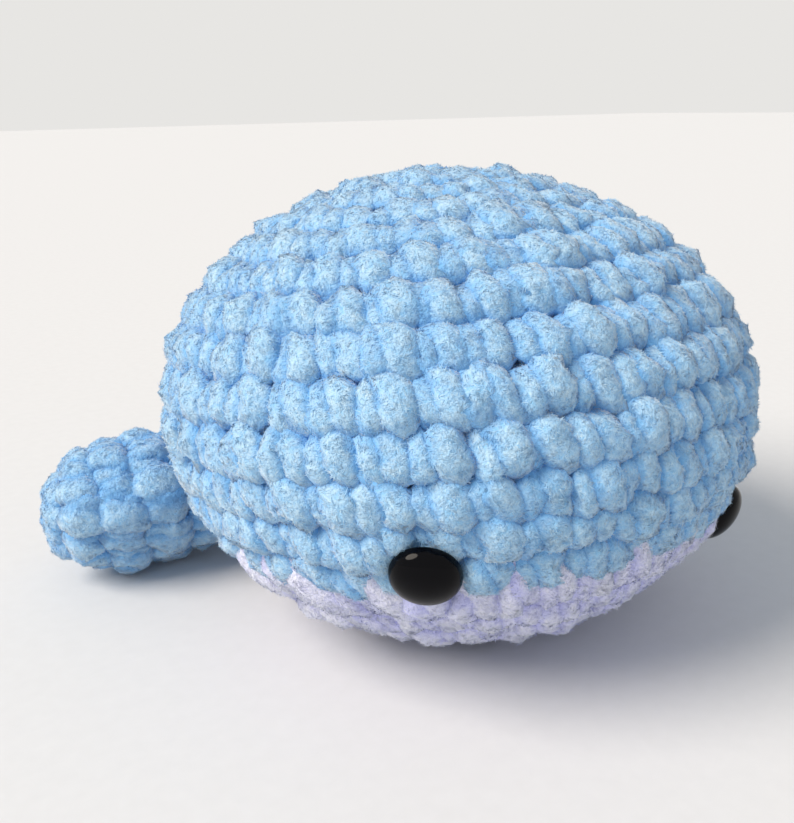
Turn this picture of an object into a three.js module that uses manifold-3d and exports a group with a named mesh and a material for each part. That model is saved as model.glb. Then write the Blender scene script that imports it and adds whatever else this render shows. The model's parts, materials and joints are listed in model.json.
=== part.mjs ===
// A crocheted plush whale of thick chenille yarn, built as the toy is made.
// Units are millimetres, +Z is up and the toy rests on Z = 0 with its nose towards -Y.
// The origin is the centre of the flat patch of belly that lies on the table.
import * as THREE from 'three';
import { mergeVertices } from 'three/addons/utils/BufferGeometryUtils.js';
import Module from 'manifold-3d';

const wasm = await Module();
wasm.setup();

// Body: an egg turned about a vertical axis, widest above its middle
const bodyWidth = 124;
const domeHeight = 46.6;
const bellyDepth = 49.9;
const bellyFlattening = 4.4;
const domePower = 1.94;
const bellyPower = 1.92;
const fabricThickness = 6.5;
const seatGap = 0.3;

// Crochet layout: rounds of stitches spiral down from the crown, about an axis that leans
const stitchesAround = 44;
const roundHeight = 8.25;
const firstGrooveReach = 5.6;
const roundGrooveDepth = 2.6;
const stitchGrooveDepth = 1.3;
const roundLeanBackDegrees = 9;
const roundLeanSideDegrees = 8;
const roundStartDegrees = -33.5;

// Colour change: a plane that rises towards the nose
const roundRiseDegrees = 9.5;
const roundRiseSideDegrees = 6;
const colourChangeHeight = 21.9;

// Eyes: turned safety eyes with a ribbed post and a pressed washer
const eyeDiameter = 12;
const eyeDomeHeight = 4.4;
const eyeRimThickness = 0.8;
const eyeSink = 1.6;
const eyePostDiameter = 4.4;
const eyePostRibDepth = 0.3;
const eyePostRibPitch = 1.2;
const eyePostRibs = 7;
const eyePostTipLength = 1.6;
const washerDiameter = 14;
const washerThickness = 1.6;
const washerCollarDiameter = 8;
const washerCollarHeight = 1.6;
const rightEyeTurnDegrees = 37.4;
const leftEyeTurnDegrees = 33;
const rightEyeHeight = 32.7;
const leftEyeHeight = 27.3;

// Tail: two lobes on one bow that opens backwards, sewn on a little off the nose's line
const tailOffNoseLineDegrees = 22.5;
const tailFabricThickness = 5.5;
const tailTableGap = 0.4;
const lobeDiameter = 32.4;
const lobeRootDiameter = 24;
const lobeLength = 60.3;
const lobeTipLength = 18.6;
const lobeBowDegrees = 47.7;
const tailBowBehind = 54.5;
const stockHalfLength = 18;

// Seat of the tail: the seam draws the body's fabric in
const seatDentDepth = 8;
const seatDentSpreadDegrees = 40;
const tailStandoff = 2;
const seamYarnWidth = 5;

// Yarn ends that stay inside: cores of the chenille, pulled tight in overhand knots
const knotYarnDiameter = 2.2;
const knotWidth = 9.6;
const knotTailLength = 7;
const knotOpeningDegrees = 24;
const knotWidthShare = 5.2;
const colourKnotHeight = 30;
const colourKnotTurnDegrees = 100;

// Fineness of the facets
const bodyFacets = 36;
const bodyRings = 9;
const tailFacets = 18;
const tailRings = 7;
const tipRings = 5;
const turnedFacets = 16;
const eyeDomeRings = 5;
const knotSteps = 30;
const knotSides = 6;

// Share of the seat gap below which two corners are the same corner
const sameCornerShare = 0.001;

const bodyRadius = bodyWidth / 2;
const restDepth = bellyDepth - bellyFlattening;
const tailHeight = lobeDiameter / 2 + tailTableGap;
const radians = Math.PI / 180;
const wholeReach = 2 * bodyWidth;

// Finishes, from the photograph
const blueYarn = new THREE.MeshStandardMaterial({ color: 0xa6cbea, roughness: 1, metalness: 0 });
const whiteYarn = new THREE.MeshStandardMaterial({ color: 0xe6e1f0, roughness: 1, metalness: 0 });
const fibrefill = new THREE.MeshStandardMaterial({ color: 0xf6f5f1, roughness: 1, metalness: 0 });
const blackPlastic = new THREE.MeshStandardMaterial({ color: 0x08080a, roughness: 0.08, metalness: 0 });
const clearPlastic = new THREE.MeshStandardMaterial({ color: 0xe9e9e4, roughness: 0.45, metalness: 0 });

// Closed solid of a geometry, with shared corners merged and empty faces dropped
function solidOf(geometry) {
  const bare = geometry.clone();
  for (const name of Object.keys(bare.attributes)) {
    if (name !== 'position') bare.deleteAttribute(name);
  }
  const merged = mergeVertices(bare, seatGap * sameCornerShare);
  const corners = merged.index.array;
  const faces = [];
  for (let i = 0; i < corners.length; i += 3) {
    const [a, b, c] = corners.slice(i, i + 3);
    if (a !== b && b !== c && c !== a) faces.push(a, b, c);
  }
  const mesh = new wasm.Mesh({
    numProp: 3,
    vertProperties: new Float32Array(merged.attributes.position.array),
    triVerts: new Uint32Array(faces),
  });
  return new wasm.Manifold(mesh);
}

// Geometry of a closed solid
function geometryOf(solid) {
  const mesh = solid.getMesh();
  const geometry = new THREE.BufferGeometry();
  geometry.setAttribute('position', new THREE.BufferAttribute(mesh.vertProperties, 3));
  geometry.setIndex(new THREE.BufferAttribute(mesh.triVerts, 1));
  geometry.computeVertexNormals();
  return geometry;
}

function pieceOf(name, solid, material) {
  const piece = new THREE.Mesh(geometryOf(solid), material);
  piece.name = name;
  return piece;
}

function unionOf(solids) {
  return solids.reduce((sum, solid) => sum.add(solid));
}

// Profile point of the body at a slope angle from the widest line, in from the fabric's face
function bodyProfile(angle, inset) {
  const upper = angle >= 0;
  const power = upper ? domePower : bellyPower;
  const height = (upper ? domeHeight : bellyDepth) - inset;
  const across = (bodyRadius - inset) * Math.cos(angle) ** (2 / power);
  const along = height * Math.abs(Math.sin(angle)) ** (2 / power);
  return new THREE.Vector2(across, restDepth + (upper ? along : -along));
}

// Radius of the body's form at a height above the table, at an inset from its outer face
function bodyRadiusAt(height, inset) {
  const rise = height - restDepth;
  const power = rise >= 0 ? domePower : bellyPower;
  const limit = (rise >= 0 ? domeHeight : bellyDepth) - inset;
  return (bodyRadius - inset) * (1 - (Math.abs(rise) / limit) ** power) ** (1 / power);
}

// Outward direction of the body's face at a height and an angle about Z from the nose
function bodyNormalAt(height, turn) {
  const rise = height - restDepth;
  const power = rise >= 0 ? domePower : bellyPower;
  const limit = rise >= 0 ? domeHeight : bellyDepth;
  const across = bodyRadiusAt(height, 0) ** (power - 1) / bodyRadius ** power;
  const up = Math.sign(rise) * Math.abs(rise) ** (power - 1) / limit ** power;
  return new THREE.Vector3(across * Math.sin(turn), -across * Math.cos(turn), up).normalize();
}

const tailTurn = Math.PI + tailOffNoseLineDegrees * radians;
const bodyCentre = new THREE.Vector3(0, 0, restDepth);
const tailSeat = new THREE.Vector3(
  bodyRadiusAt(tailHeight, 0) * Math.sin(tailTurn),
  -bodyRadiusAt(tailHeight, 0) * Math.cos(tailTurn),
  tailHeight,
);

const tailSeatDirection = tailSeat.clone().sub(bodyCentre).normalize();

// Moves a point in towards the body's middle where the tail's seam draws the fabric in
function drawIn(point) {
  const out = point.clone().sub(bodyCentre);
  const away = out.angleTo(tailSeatDirection) / (seatDentSpreadDegrees * radians);
  out.setLength(out.length() - seatDentDepth * Math.exp(-away * away));
  return out.add(bodyCentre);
}

// A closed form cut flat where it rests on the table, less an inset
function restedOn(form, inset) {
  const floor = new THREE.BoxGeometry(wholeReach, wholeReach, wholeReach);
  floor.translate(0, 0, inset - wholeReach / 2);
  return form.subtract(solidOf(floor));
}

// The body's form at an inset, flat where it rests, drawn in at the tail if asked, and turned
function bodyForm(inset, drawnIn, turn = 0) {
  const angles = [];
  for (let ring = -bodyRings; ring <= bodyRings; ring += 1) {
    angles.push(ring / bodyRings * Math.PI / 2);
  }
  const profile = angles.map((angle) => bodyProfile(angle, inset));
  profile[0].x = 0;
  profile[profile.length - 1].x = 0;
  const lathe = new THREE.LatheGeometry(profile, bodyFacets).rotateX(Math.PI / 2);
  const points = lathe.attributes.position;
  for (let i = 0; drawnIn && i < points.count; i += 1) {
    const point = drawIn(new THREE.Vector3().fromBufferAttribute(points, i));
    points.setXYZ(i, point.x, point.y, point.z);
  }
  return restedOn(solidOf(lathe.rotateZ(turn)), inset);
}

// The body's outline from crown to belly: slope angles, each with its distance along the outline
function bodyOutline() {
  const steps = bodyRings * bodyRings;
  const outline = [{ arc: 0, angle: Math.PI / 2, point: bodyProfile(Math.PI / 2, 0) }];
  for (let step = 1; step <= steps; step += 1) {
    const angle = (1 / 2 - step / steps) * Math.PI;
    const point = bodyProfile(angle, 0);
    const last = outline[step - 1];
    outline.push({ arc: last.arc + point.distanceTo(last.point), angle, point });
  }
  return outline;
}

const outline = bodyOutline();
const outlineLength = outline[outline.length - 1].arc;

// Slope angle at a distance along the outline
function slopeAt(arc) {
  const next = Math.max(1, outline.findIndex((step) => step.arc >= arc));
  const [low, high] = [outline[next - 1], outline[next]];
  return low.angle + (high.angle - low.angle) * (arc - low.arc) / (high.arc - low.arc);
}

const roundLean = new THREE.Quaternion()
  .setFromEuler(new THREE.Euler(0, 0, roundStartDegrees * radians))
  .multiply(new THREE.Quaternion().setFromEuler(new THREE.Euler(0, -roundLeanSideDegrees * radians, 0)))
  .multiply(new THREE.Quaternion().setFromEuler(new THREE.Euler(-roundLeanBackDegrees * radians, 0, 0)));

// A point of the crocheted face: a distance down from the crown, a turn about the rounds' axis, an inset
function crochetPoint(arc, turn, inset) {
  const slope = slopeAt(arc);
  const across = Math.cos(slope);
  const direction = new THREE.Vector3(across * Math.sin(turn), -across * Math.cos(turn), Math.sin(slope));
  direction.applyQuaternion(roundLean);
  const place = bodyProfile(Math.asin(THREE.MathUtils.clamp(direction.z, -1, 1)), inset);
  const around = Math.atan2(direction.y, direction.x);
  return drawIn(new THREE.Vector3(place.x * Math.cos(around), place.x * Math.sin(around), place.y));
}

// The body's outer form with its ribs: a groove and a crest a round, a notch and a crest a stitch
function crochetForm(inset, turnZ = 0) {
  const columns = 2 * stitchesAround;
  const rings = 2 * Math.ceil((outlineLength - firstGrooveReach) / roundHeight + 2 + 1 / 2);
  const points = [];
  const faces = [];
  for (let ring = 0; ring <= rings; ring += 1) {
    for (let column = 0; column <= columns; column += 1) {
      const turns = column / columns - 1 / 2;
      const reach = firstGrooveReach + (ring / 2 - 2 + turns) * roundHeight;
      const arc = THREE.MathUtils.clamp(reach, 0, outlineLength);
      const notch = column % 2 === 0 ? stitchGrooveDepth * Math.cos(slopeAt(arc)) : 0;
      const atPole = arc === 0 || arc === outlineLength;
      const depth = ring % 2 === 0 || atPole ? roundGrooveDepth : notch;
      points.push(...crochetPoint(arc, turns * 2 * Math.PI, inset + depth).toArray());
      if (ring === rings || column === columns) continue;
      const corner = ring * (columns + 1) + column;
      const below = corner + columns + 1;
      faces.push(corner, below, corner + 1, corner + 1, below, below + 1);
    }
  }
  const geometry = new THREE.BufferGeometry();
  geometry.setAttribute('position', new THREE.Float32BufferAttribute(points, 3));
  geometry.setIndex(faces);
  return restedOn(solidOf(geometry.rotateZ(turnZ)), inset);
}

// Everything on the far side of a plane that faces a direction
function blockBeyond(point, direction) {
  const block = new THREE.BoxGeometry(wholeReach, wholeReach, wholeReach);
  block.translate(0, 0, wholeReach / 2);
  const turn = new THREE.Quaternion().setFromUnitVectors(new THREE.Vector3(0, 0, 1), direction);
  block.applyQuaternion(turn).translate(point.x, point.y, point.z);
  return solidOf(block);
}

// A straight round bar about local Z between two levels
function barOf(diameter, low, high) {
  const bar = new THREE.CylinderGeometry(diameter / 2, diameter / 2, high - low, turnedFacets);
  return bar.rotateX(Math.PI / 2).translate(0, 0, (low + high) / 2);
}

// A piece turned about local Z from pairs of radius and level
function turnedOf(pairs, facets) {
  const profile = pairs.map(([radius, level]) => new THREE.Vector2(radius, level));
  return new THREE.LatheGeometry(profile, facets).rotateX(Math.PI / 2);
}

// Eyes
const eyeRadius = eyeDiameter / 2;
const postRadius = eyePostDiameter / 2;
const postLength = eyePostRibs * eyePostRibPitch + eyePostTipLength;
const innerCurve = Math.min(domeHeight, bellyDepth) - fabricThickness;
const washerSag = innerCurve - Math.sqrt(innerCurve ** 2 - washerDiameter ** 2 / 4);
const washerFace = -(fabricThickness - eyeSink + washerSag + 3 * seatGap);

function eyeProfile() {
  const pairs = [[0, -postLength]];
  pairs.push([postRadius - 2 * eyePostRibDepth, -postLength]);
  for (let rib = eyePostRibs; rib > 0; rib -= 1) {
    pairs.push([postRadius, -rib * eyePostRibPitch]);
    pairs.push([postRadius - eyePostRibDepth, -(rib - 1 / 2) * eyePostRibPitch]);
  }
  pairs.push([postRadius - eyePostRibDepth, 0]);
  pairs.push([eyeRadius - eyeRimThickness / 2, 0]);
  pairs.push([eyeRadius, eyeRimThickness / 2]);
  for (let ring = 0; ring <= eyeDomeRings; ring += 1) {
    const angle = ring / eyeDomeRings * Math.PI / 2;
    const rise = (eyeDomeHeight - eyeRimThickness) * Math.sin(angle);
    pairs.push([ring === eyeDomeRings ? 0 : eyeRadius * Math.cos(angle), eyeRimThickness + rise]);
  }
  return pairs;
}

function washerProfile() {
  const bore = postRadius + seatGap;
  const outer = washerDiameter / 2;
  const collar = washerCollarDiameter / 2;
  const back = washerFace - washerThickness;
  const end = back - washerCollarHeight;
  return [[bore, end], [collar, end], [collar, back], [outer, back],
    [outer, washerFace], [bore, washerFace], [bore, end]];
}

// Pose of one eye: its group sits on the body's face, sunk a little, with local +Z outwards
function eyePlace(turnDegrees, height) {
  const turn = turnDegrees * radians;
  const outward = bodyNormalAt(height, turn);
  const radius = bodyRadiusAt(height, 0);
  const place = new THREE.Group();
  place.position.set(radius * Math.sin(turn), -radius * Math.cos(turn), height);
  place.position.addScaledVector(outward, -eyeSink);
  place.quaternion.setFromUnitVectors(new THREE.Vector3(0, 0, 1), outward);
  place.updateMatrixWorld(true);
  return place;
}

const eyes = [
  { side: 'right', place: eyePlace(-rightEyeTurnDegrees, rightEyeHeight) },
  { side: 'left', place: eyePlace(leftEyeTurnDegrees, leftEyeHeight) },
];

// What an eye takes out of the fabric: its seat and its post's hole
function eyeRoomInFabric(place) {
  const seat = barOf(eyeDiameter + 2 * seatGap, -seatGap, eyeSink + eyeDomeHeight);
  const hole = barOf(eyePostDiameter + 2 * seatGap, washerFace - washerThickness, 0);
  return unionOf([seat, hole].map((bar) => solidOf(bar.applyMatrix4(place.matrixWorld))));
}

// What an eye takes out of the stuffing: its washer, collar and post
function eyeRoomInStuffing(place) {
  const back = washerFace - washerThickness - washerCollarHeight - seatGap;
  const disc = barOf(washerDiameter + 2 * seatGap, back, eyeSink);
  const post = barOf(eyePostDiameter + 2 * seatGap, -postLength - seatGap, 0);
  return unionOf([disc, post].map((bar) => solidOf(bar.applyMatrix4(place.matrixWorld))));
}

const knotSpread = (knotWidth - knotYarnDiameter) / knotWidthShare;
const knotThickness = knotYarnDiameter + 2 * knotSpread;
const knotReach = knotWidth / 2 + knotTailLength / 2;
const knotSag = innerCurve - Math.sqrt(innerCurve ** 2 - knotReach ** 2);

// A yarn end tied in an overhand knot, as one tube along a trefoil with its ends led away
function knotGeometry() {
  const opening = knotOpeningDegrees * radians;
  const points = [];
  for (let step = 0; step <= knotSteps; step += 1) {
    const angle = opening + step / knotSteps * (2 * Math.PI - 2 * opening);
    points.push(new THREE.Vector3(
      knotSpread * (Math.sin(angle) + 2 * Math.sin(2 * angle)),
      knotSpread * (Math.cos(angle) - 2 * Math.cos(2 * angle)),
      -knotSpread * Math.sin(3 * angle),
    ));
  }
  const first = points[0].clone().sub(points[1]).normalize();
  const last = points[knotSteps].clone().sub(points[knotSteps - 1]).normalize();
  const lead = knotTailLength / 2;
  points.unshift(points[0].clone().addScaledVector(first, lead));
  points.push(points[points.length - 1].clone().addScaledVector(last, lead));
  const section = new THREE.Shape();
  for (let side = 0; side < knotSides; side += 1) {
    const angle = side / knotSides * 2 * Math.PI;
    const x = knotYarnDiameter / 2 * Math.cos(angle);
    const y = knotYarnDiameter / 2 * Math.sin(angle);
    if (side === 0) section.moveTo(x, y);
    else section.lineTo(x, y);
  }
  return new THREE.ExtrudeGeometry(section, {
    steps: knotSteps,
    bevelEnabled: false,
    extrudePath: new THREE.CatmullRomCurve3(points),
  });
}

// A knot lies flat against the inside of the fabric, with local +Z into the toy
function knotPlace(point, inward) {
  const place = new THREE.Group();
  place.position.copy(point).addScaledVector(inward, knotThickness / 2 + knotSag + seatGap);
  place.quaternion.setFromUnitVectors(new THREE.Vector3(0, 0, 1), inward);
  place.updateMatrixWorld(true);
  return place;
}

// Room for a knot in the stuffing, open towards the fabric
function knotRoom(place) {
  const half = knotThickness / 2 + seatGap;
  const room = barOf(2 * (knotReach + seatGap), -half - knotSag - fabricThickness / 2, half);
  return solidOf(room.applyMatrix4(place.matrixWorld));
}

// Knots: the two yarns are tied inside the left side, and the belly's last round is closed
function knotPlaces() {
  const turn = colourKnotTurnDegrees * radians;
  const radius = bodyRadiusAt(colourKnotHeight, fabricThickness);
  const sidePoint = new THREE.Vector3(
    radius * Math.sin(turn),
    -radius * Math.cos(turn),
    colourKnotHeight,
  );
  const inward = bodyNormalAt(colourKnotHeight, turn).negate();
  const bellyPoint = new THREE.Vector3(0, 0, fabricThickness);
  return [
    { name: 'colour_change_knot', yarn: blueYarn, place: knotPlace(sidePoint, inward) },
    { name: 'closing_knot', yarn: whiteYarn, place: knotPlace(bellyPoint, new THREE.Vector3(0, 0, 1)) },
  ];
}

const knots = knotPlaces();

// Body fabric, worked as one bag and parted where the yarn changes colour
const colourPlanePoint = new THREE.Vector3(0, 0, colourChangeHeight);
const colourPlaneUp = new THREE.Vector3(0, 0, 1)
  .applyAxisAngle(new THREE.Vector3(1, 0, 0), -roundRiseDegrees * radians)
  .applyAxisAngle(new THREE.Vector3(0, 0, 1), roundRiseSideDegrees * radians);
const colourPlaneDown = colourPlaneUp.clone().negate();

function bodyPieces() {
  const inner = bodyForm(fabricThickness, true);
  let bag = crochetForm(0).subtract(inner);
  let filling = bodyForm(fabricThickness + seatGap, true);
  for (const eye of eyes) {
    bag = bag.subtract(eyeRoomInFabric(eye.place));
    filling = filling.subtract(eyeRoomInStuffing(eye.place));
  }
  for (const knot of knots) filling = filling.subtract(knotRoom(knot.place));
  const halfGap = seatGap / 2;
  const bluePoint = colourPlanePoint.clone().addScaledVector(colourPlaneUp, halfGap);
  const whitePoint = colourPlanePoint.clone().addScaledVector(colourPlaneUp, -halfGap);
  return [
    pieceOf('back_fabric', bag.subtract(blockBeyond(bluePoint, colourPlaneDown)), blueYarn),
    pieceOf('belly_fabric', bag.subtract(blockBeyond(whitePoint, colourPlaneUp)), whiteYarn),
    pieceOf('body_stuffing', filling, fibrefill),
  ];
}

// Tail: shapes are made along +Y and turned about Z to the seat
const bowRadius = lobeLength / (lobeBowDegrees * radians);

// Middle of the bow at a distance along it, to one side
function bowPoint(distance, side) {
  const angle = distance / bowRadius;
  const across = bowRadius * Math.sin(angle);
  const behind = tailBowBehind + bowRadius * (1 - Math.cos(angle));
  return new THREE.Vector3(side * across, behind, tailHeight);
}

// Direction along the bow towards the tip on one side
function bowDirection(distance, side) {
  const angle = distance / bowRadius;
  return new THREE.Vector3(side * Math.cos(angle), Math.sin(angle), 0);
}

// Radius of a lobe at a distance along the bow
function lobeRadiusAt(distance, inset) {
  const widest = lobeDiameter / 2 - inset;
  const root = lobeRootDiameter / 2 - inset;
  const taper = lobeLength - lobeTipLength;
  if (distance <= taper) {
    const swell = (1 - Math.cos(Math.PI * Math.max(distance, 0) / taper)) / 2;
    return root + (widest - root) * swell;
  }
  const along = Math.min((distance - taper) / (lobeTipLength - inset), 1);
  return widest * Math.sqrt(1 - along * along);
}

// One lobe's form at an inset: turned about Y, then bent along the bow
function lobeForm(side, inset) {
  const taper = lobeLength - lobeTipLength;
  const overlap = lobeRootDiameter / 4;
  const profile = [new THREE.Vector2(0, -overlap)];
  for (let ring = 0; ring <= tailRings; ring += 1) {
    const distance = -overlap + ring / tailRings * (taper + overlap);
    profile.push(new THREE.Vector2(lobeRadiusAt(distance, inset), distance));
  }
  for (let ring = 1; ring <= tipRings; ring += 1) {
    const angle = ring / tipRings * Math.PI / 2;
    const distance = taper + (lobeTipLength - inset) * Math.sin(angle);
    profile.push(new THREE.Vector2(ring === tipRings ? 0 : lobeRadiusAt(distance, inset), distance));
  }
  const lathe = new THREE.LatheGeometry(profile, tailFacets);
  const points = lathe.attributes.position;
  for (let i = 0; i < points.count; i += 1) {
    const middle = bowPoint(points.getY(i), 1);
    const along = bowDirection(points.getY(i), 1);
    const out = -points.getX(i);
    const up = points.getZ(i);
    points.setXYZ(i, middle.x - along.y * out, middle.y + along.x * out, middle.z + up);
  }
  if (side < 0) {
    lathe.translate(0, 0, -tailHeight).rotateY(Math.PI).translate(0, 0, tailHeight);
  }
  return solidOf(lathe);
}

function tailForm(inset) {
  return lobeForm(1, inset).add(lobeForm(-1, inset));
}

// The body's form, swollen by a stand-off and seen in the tail's own frame
function bodyNearTail(standoff, drawnIn) {
  return bodyForm(-standoff, drawnIn, Math.PI - tailTurn);
}

function tailPieces() {
  const body = bodyNearTail(tailStandoff, false);
  const skin = tailForm(0).subtract(tailForm(tailFabricThickness)).subtract(body);
  const pieces = [];
  let stock = skin;
  for (const [name, side] of [['left', 1], ['right', -1]]) {
    const away = bowDirection(stockHalfLength, side);
    const stockEnd = bowPoint(stockHalfLength - seatGap / 2, side);
    const lobeStart = bowPoint(stockHalfLength + seatGap / 2, side);
    const lobe = skin.intersect(blockBeyond(lobeStart, away));
    stock = stock.subtract(blockBeyond(stockEnd, away));
    pieces.push(pieceOf(`tail_lobe_${name}`, lobe, blueYarn));
  }
  const filling = tailForm(tailFabricThickness + seatGap).subtract(body);
  pieces.push(pieceOf('tail_stock', stock, blueYarn));
  pieces.push(pieceOf('tail_stuffing', filling, fibrefill));
  return pieces;
}

// The seam: a ring of yarn in the body's drawn-in seat, under the edge of the stock
function seamPiece() {
  const reach = 2 * tailBowBehind;
  const outer = new THREE.CylinderGeometry(1, 1, reach, tailFacets);
  const room = new THREE.CylinderGeometry(1, 1, 2 * reach, tailFacets);
  const halfHeight = lobeRootDiameter / 2;
  outer.scale(stockHalfLength, 1, halfHeight);
  room.scale(stockHalfLength - seamYarnWidth, 1, halfHeight - seamYarnWidth);
  outer.translate(0, reach / 2, tailHeight);
  room.translate(0, reach / 2, tailHeight);
  const ring = solidOf(outer).subtract(solidOf(room));
  const band = ring.intersect(bodyNearTail(tailStandoff - seatGap, false));
  return pieceOf('tail_seam_yarn', band.subtract(crochetForm(-seatGap, Math.PI - tailTurn)), blueYarn);
}

// Pieces that are placed by a group of their own
function placed(place, name, geometry, material) {
  const piece = new THREE.Mesh(geometry, material);
  piece.name = name;
  place.add(piece);
}

const whale = new THREE.Group();
whale.add(...bodyPieces());

for (const eye of eyes) {
  const eyeSolid = solidOf(turnedOf(eyeProfile(), turnedFacets));
  const washerSolid = solidOf(turnedOf(washerProfile(), turnedFacets));
  placed(eye.place, `eye_${eye.side}`, geometryOf(eyeSolid), blackPlastic);
  placed(eye.place, `eye_washer_${eye.side}`, geometryOf(washerSolid), clearPlastic);
  whale.add(eye.place);
}

for (const knot of knots) {
  placed(knot.place, knot.name, geometryOf(solidOf(knotGeometry())), knot.yarn);
  whale.add(knot.place);
}

const tail = new THREE.Group();
tail.rotation.z = tailTurn - Math.PI;
tail.add(seamPiece(), ...tailPieces());
whale.add(tail);

export default whale;
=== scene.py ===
"""A crocheted plush whale of thick chenille yarn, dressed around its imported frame, in metres."""
import json
import math

import bmesh
import bpy
import numpy as np
from mathutils import Matrix, Vector, kdtree, noise


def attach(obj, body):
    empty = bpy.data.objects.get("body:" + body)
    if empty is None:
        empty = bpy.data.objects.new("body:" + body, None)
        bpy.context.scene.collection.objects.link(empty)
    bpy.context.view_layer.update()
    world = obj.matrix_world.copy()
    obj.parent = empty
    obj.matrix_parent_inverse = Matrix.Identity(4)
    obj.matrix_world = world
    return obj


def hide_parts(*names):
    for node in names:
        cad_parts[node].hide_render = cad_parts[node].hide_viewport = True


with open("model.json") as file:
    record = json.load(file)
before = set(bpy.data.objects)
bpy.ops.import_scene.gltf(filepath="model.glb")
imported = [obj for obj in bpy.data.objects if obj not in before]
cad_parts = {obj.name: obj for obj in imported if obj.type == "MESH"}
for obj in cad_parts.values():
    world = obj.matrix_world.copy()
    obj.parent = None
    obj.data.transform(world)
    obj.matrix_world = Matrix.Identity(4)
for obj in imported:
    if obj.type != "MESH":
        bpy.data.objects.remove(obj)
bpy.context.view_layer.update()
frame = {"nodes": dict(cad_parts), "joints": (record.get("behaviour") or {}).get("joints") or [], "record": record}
MM = 0.001
NEARLY_ZERO = 1e-12
SHORTEST = 1e-9
WELD = 1e-6

# Body: an egg turned about a vertical axis, flat where it rests and drawn in at the tail
BODY_RADIUS = 62 * MM
DOME_HEIGHT = 46.6 * MM
BELLY_DEPTH = 49.9 * MM
REST_DEPTH = 45.5 * MM
DOME_POWER = 1.94
BELLY_POWER = 1.92
BODY_CENTRE = np.array((0, 0, REST_DEPTH))
SEAT_DENT_DEPTH = 8 * MM
SEAT_DENT_SPREAD = math.radians(40)
TABLE_PRESS = 1.2 * MM
LATITUDE_SAMPLES = 2000
POLE_CLEARANCE = 0.5 * MM

# Tail: two lobes on one bow behind the body, and the short stock between them
TAIL_TURN = math.radians(22.5)
TAIL_HEIGHT = 16.6 * MM
BOW_BEHIND = 54.5 * MM
LOBE_LENGTH = 60.3 * MM
BOW_RADIUS = LOBE_LENGTH / math.radians(47.7)
LOBE_RADIUS = 16.2 * MM
ROOT_RADIUS = 12 * MM
LOBE_TIP = 18.6 * MM
LOBE_TIP_START = LOBE_LENGTH - LOBE_TIP
STOCK_HALF = 18 * MM
TIP_SAMPLES = 300
STEM_SAMPLES = 600
TIP_CLEARANCE = 0.3 * MM
BOW_CLEARANCE = 0.4 * MM

# Eyes, and how the fabric gives way under their rims
EYE_RADIUS = 6 * MM
EYE_DOME = 4.4 * MM
EYE_RIM = 0.8 * MM
RIM_CORNER = (0.1 * EYE_RIM, 0.15 * EYE_RIM)
DOME_STEPS = 16
EYE_TURN_STEPS = 56
EYE_POST = 4.4 * MM
POST_LENGTH = 10 * MM
POST_RIB = 0.3 * MM
POST_RIBS = 7
POST_PITCH = 1.2 * MM
EYE_JOINTS = {"right": "eye_right_spin", "left": "eye_left_spin"}
PRESS_REACH = 7.5 * MM
PRESS_FADE = 1.8 * MM
PRESS_BEHIND = 14 * MM
PRESS_DEPTH = 5.3 * MM

# Rounds of crochet: their axis leans, and the spiral drops one row in each turn. A round has its
# number of stitches and its gap, the turn in degrees at which one of its stitches begins.
CAMERA_AZIMUTH = math.radians(-33.5)
ROUND_LEAN_BACK = math.radians(9)
ROUND_LEAN_SIDE = math.radians(8)
ROW_HEIGHT = 8.25 * MM
FIRST_ROW_TOP = 5.6 * MM
BLUE_COUNTS = (6, 12, 18, 24, 30, 36, 42, 44, 44, 44, 44, 44, 44)
BLUE_GAPS = (4, 12, 16.5, 2.2, 2.7, 4.8, 7.3, 6.5, 5.3, 3.9, 2.2, 1.2, 0.4)
WHITE_COUNTS = (44, 38, 32, 26, 19, 12, 6)
WHITE_GAPS = (4.5, -4, 0, 2, 0, 3, 0)
# The tail's rounds turn by a gap step from one to the next. A lobe's stitch is higher than its row.
LOBE_COUNTS = (6, 12, 15, 15, 14, 12)
LOBE_ROW = 8.6 * MM
LOBE_STITCH = 1.12
LOBE_GAP_STEP = 37
STOCK_COUNTS = (10, 10, 10, 10)
STOCK_GAP_STEP = 21
# The blue yarn starts with a few thinner stitches that close the crown
CROWN_COUNT = 4
CROWN_GAP = 40
CROWN_THICKNESS = 0.85
# More legs than any round has, to tell the legs of one round from those of the next
LEG_NUMBERS = 200
YARN_SEED = 7
CROWN_SEED = 3

# The two legs of a stitch, point by point: across in stitch widths, down in row heights, and the
# yarn's depth and radius in millimetres
SMALL_LEG = (
    (-0.33, 0.80, 5.4, 1.3), (-0.33, 0.83, 4.3, 2.35), (-0.31, 0.68, 3.2, 2.8),
    (-0.28, 0.48, 3.0, 2.85), (-0.24, 0.30, 3.2, 2.7), (-0.19, 0.16, 4.4, 2.3),
    (-0.15, 0.18, 5.4, 1.3),
)
PLUMP_LEG = (
    (0.04, 0.18, 5.4, 1.3), (0.07, 0.16, 4.5, 2.5), (0.12, 0.30, 3.3, 3.0), (0.18, 0.50, 3.1, 3.3),
    (0.23, 0.69, 3.2, 3.3), (0.28, 0.83, 4.3, 2.7), (0.29, 0.80, 5.4, 1.3),
)
STITCH = SMALL_LEG + PLUMP_LEG
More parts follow.
